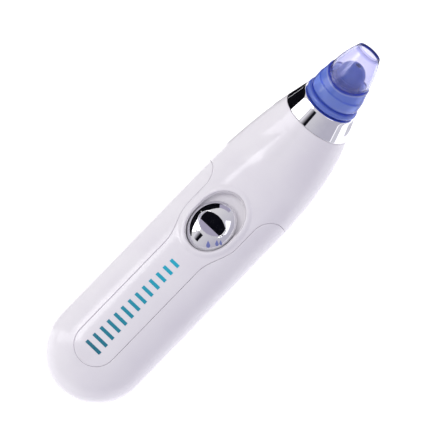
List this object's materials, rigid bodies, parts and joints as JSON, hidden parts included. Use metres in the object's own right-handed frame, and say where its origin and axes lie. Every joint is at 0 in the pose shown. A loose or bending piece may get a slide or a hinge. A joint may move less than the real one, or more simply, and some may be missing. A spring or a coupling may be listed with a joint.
{
  "type": "blackhead vacuum extractor",
  "caption": "Handheld battery pore vacuum with a curved neck, chrome collar, push-on clear suction cup, sliding switch and a battery cover that slides off.",
  "frame": {"origin": "centre of the footprint, at the surface the device lies on", "axes": "+X along the grip towards the head, +Z out of the switch face, the device lies on its back"},
  "size_m": [0.1868, 0.044, 0.0598],
  "materials": {
    "white_plastic": "glossy white",
    "chrome": "bright chrome plating",
    "blue_clear": "clear blue",
    "dome_blue": "clear blue",
    "dark_plastic": "matt black",
    "grey_plastic": "matt grey",
    "steel": "bright steel",
    "cell_wrap": "printed foil",
    "brass": "plated",
    "copper": "enamelled winding",
    "rubber": "soft black",
    "sponge": "open foam",
    "board": "solder mask",
    "wire": "insulated",
    "clear_hose": "clear silicone",
    "teal_print": "printed",
    "drop_print": "printed"
  },
  "bodies": {
    "housing": {"front_shell": "white_plastic", "rear_shell": "white_plastic", "battery_tray": "dark_plastic", "aa_cells": "cell_wrap", "battery_springs": "steel", "contact_plates": "brass", "switch_well": "white_plastic", "slide_switch": "steel", "circuit_board": "board", "motor_can": "steel", "motor_end_cap": "grey_plastic", "motor_magnets": "dark_plastic", "rocker": "grey_plastic", "pump_housing": "dark_plastic", "diaphragm": "rubber", "valve_plate": "grey_plastic", "pump_cap": "dark_plastic", "pump_screws": "steel", "pump_cradle": "grey_plastic", "air_hose": "clear_hose", "neck_ring": "white_plastic", "chrome_collar": "chrome", "nozzle_base": "white_plastic", "o_ring": "rubber", "filter_sponge": "sponge", "inner_dome": "dome_blue", "housing_screws": "steel", "tray_screws": "steel", "lead_wires": "wire", "panel_print": "teal_print"},
    "cover": {"battery_cover": "white_plastic"},
    "slider": {"switch_knob": "chrome", "knob_carrier": "dark_plastic", "drop_marks": "drop_print"},
    "rotor": {"motor_shaft": "steel", "motor_armature": "copper", "eccentric_hub": "grey_plastic"},
    "cup": {"suction_cup": "blue_clear"}
  },
  "joints": [
    {"name": "cover_slide", "type": "slide", "parent": "housing", "child": "cover", "axis": [-1, 0, 0], "range_m": [0, 0.115]},
    {"name": "switch_slide", "type": "slide", "parent": "housing", "child": "slider", "axis": [1, 0, 0], "range_m": [0, 0.0042]},
    {"name": "rotor_spin", "type": "hinge", "parent": "housing", "child": "rotor", "pos_m": [0, 0, 0.0147], "axis": [1, 0, 0], "continuous": true},
    {"name": "cup_pull", "type": "slide", "parent": "housing", "child": "cup", "axis": [0.788, 0, 0.6157], "range_m": [0, 0.026]}
  ]
}
